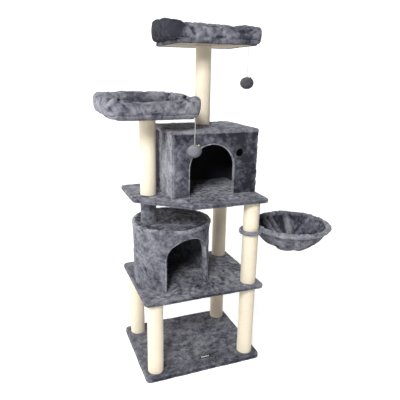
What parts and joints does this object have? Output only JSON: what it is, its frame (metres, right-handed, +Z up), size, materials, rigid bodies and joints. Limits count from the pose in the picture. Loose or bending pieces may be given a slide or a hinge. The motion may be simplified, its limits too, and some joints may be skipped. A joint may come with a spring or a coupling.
{
  "type": "cat tree",
  "caption": "Tall plush-covered cat tree on sisal posts with a round condo, a box condo, two bolstered perches, a swivelling basket and hanging pompom toys.",
  "frame": {"origin": "centre of the base's underside, on the floor", "axes": "+Z up, +X towards the basket side, -Y is the front with both doorways"},
  "size_m": [1.1027, 0.6566, 1.6474],
  "materials": {
    "plush": "short-pile plush, slightly glossy nap",
    "plush_trim": "plush hem with a lighter nap",
    "padded_plush": "fibre-filled plush",
    "basket_plush": "gathered plush",
    "sisal": "natural sisal rope wound tight",
    "cardboard": "pressed paper tube",
    "plug_wood": "raw turned wood",
    "dark_board": "pressed board stained dark",
    "fibreboard": "raw pressed board",
    "zinc_steel": "zinc plated",
    "steel_wire": "drawn wire",
    "liner": "black non-woven sheet",
    "label": "blank woven tag",
    "string": "white elastic cord",
    "pompom": "fluffy yarn",
    "bell": "painted tin bell"
  },
  "bodies": {
    "tree": {"base_board": "fibreboard", "base_label": "label", "base_liner": "liner", "base_plush": "plush", "box_condo_back_panel": "dark_board", "box_condo_door_hem": "plush_trim", "box_condo_front_panel": "dark_board", "box_condo_left_panel": "dark_board", "box_condo_peep_hem": "plush_trim", "box_condo_plush": "plush", "box_condo_right_panel": "dark_board", "box_condo_roof_board": "dark_board", "box_condo_roof_plush": "plush", "left_perch_board": "fibreboard", "left_perch_bolster": "padded_plush", "left_perch_cushion": "padded_plush", "left_perch_plush": "plush", "left_perch_post_core": "cardboard", "left_perch_post_sisal": "sisal", "lower_post_back_left_sisal": "sisal", "lower_post_back_right_sisal": "sisal", "lower_post_cores": "cardboard", "lower_post_front_left_sisal": "sisal", "lower_post_front_right_sisal": "sisal", "middle_board": "fibreboard", "middle_plush": "plush", "post_bolts": "zinc_steel", "post_end_plugs": "plug_wood", "round_condo_door_hem": "plush_trim", "round_condo_lining": "plush", "round_condo_plush": "plush", "round_condo_rim": "plush_trim", "round_condo_roof_board": "dark_board", "round_condo_roof_plush": "plush", "round_condo_wall": "dark_board", "short_post_core": "cardboard", "short_post_plush": "plush", "top_perch_board": "fibreboard", "top_perch_bolster": "padded_plush", "top_perch_cushion": "padded_plush", "top_perch_plush": "plush", "top_perch_post_core": "cardboard", "top_perch_post_sisal": "sisal", "toy_anchor_tabs": "string", "upper_board": "fibreboard", "upper_plush": "plush", "upper_post_back_right_core": "cardboard", "upper_post_back_right_sisal": "sisal", "upper_post_front_right_core": "cardboard", "upper_post_front_right_sisal": "sisal"},
    "basket": {"basket_frame": "steel_wire", "basket_loop_sleeve": "basket_plush", "basket_cloth": "basket_plush"},
    "left_toy_line": {"left_toy_string": "string"},
    "left_toy": {"left_toy_ball": "pompom", "left_toy_bell": "bell"},
    "right_toy_line": {"right_toy_string": "string"},
    "right_toy": {"right_toy_ball": "pompom", "right_toy_bell": "bell"}
  },
  "joints": [
    {"name": "basket_swivel", "type": "hinge", "parent": "tree", "child": "basket", "pos_m": [0.24, -0.177, 0.69], "axis": [0, 0, 1], "range_deg": [-130, 43]},
    {"name": "left_toy_swing", "type": "hinge", "parent": "tree", "child": "left_toy_line", "pos_m": [-0.047, -0.155, 1.217], "axis": [0, 1, 0], "range_deg": [-35, 35]},
    {"name": "left_toy_nod", "type": "hinge", "parent": "left_toy_line", "child": "left_toy", "pos_m": [-0.047, -0.155, 1.114], "axis": [1, 0, 0], "range_deg": [-20, 20]},
    {"name": "right_toy_swing", "type": "hinge", "parent": "tree", "child": "right_toy_line", "pos_m": [0.256, -0.036, 1.532], "axis": [0, 1, 0], "range_deg": [-40, 40]},
    {"name": "right_toy_nod", "type": "hinge", "parent": "right_toy_line", "child": "right_toy", "pos_m": [0.256, -0.036, 1.4], "axis": [1, 0, 0], "range_deg": [-25, 25]}
  ]
}
